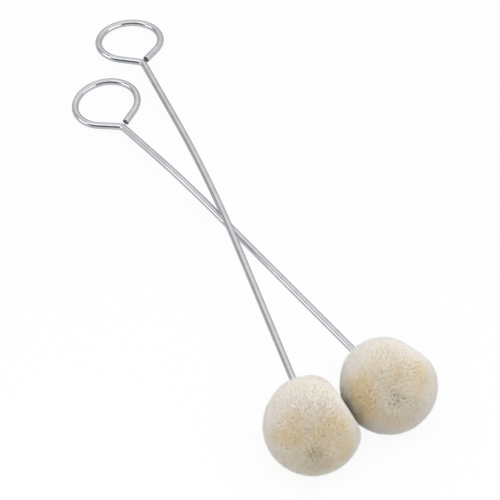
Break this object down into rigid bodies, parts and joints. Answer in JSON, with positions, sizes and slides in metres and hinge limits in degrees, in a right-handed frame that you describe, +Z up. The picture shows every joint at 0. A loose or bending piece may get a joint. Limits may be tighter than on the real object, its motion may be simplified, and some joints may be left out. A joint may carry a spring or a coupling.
{
  "type": "wool dauber",
  "caption": "Crossed wool daubers for dye, glue or polish: bent wire handles with a finger eye, each carrying a tied ball of cream sheepskin wool.",
  "frame": {"origin": "on the floor, under the middle of the crossed pair's bounding box", "axes": "+Y from the balls towards the finger eyes, +X to the right seen from the balls, +Z up from the floor"},
  "size_m": [0.1062, 0.1776, 0.0267],
  "materials": {
    "zinc_plated_wire": "bright zinc plate, drawn lengthways",
    "wool_pile": "dense clipped wool, cream",
    "wool_wad": "felted wool",
    "hide": "undyed suede",
    "waxed_thread": "waxed twist"
  },
  "bodies": {
    "dauber_under": {"under_wire_handle": "zinc_plated_wire", "under_core_wad": "wool_wad", "under_hide_cup": "hide", "under_binding": "waxed_thread", "under_wool_pile": "wool_pile"},
    "dauber_over": {"over_wire_handle": "zinc_plated_wire", "over_core_wad": "wool_wad", "over_hide_cup": "hide", "over_binding": "waxed_thread", "over_wool_pile": "wool_pile"}
  },
  "joints": [
    {"name": "lift_over_dauber", "type": "slide", "parent": "dauber_under", "child": "dauber_over", "axis": [0, 0, 1], "range_m": [0, 0.05]}
  ]
}
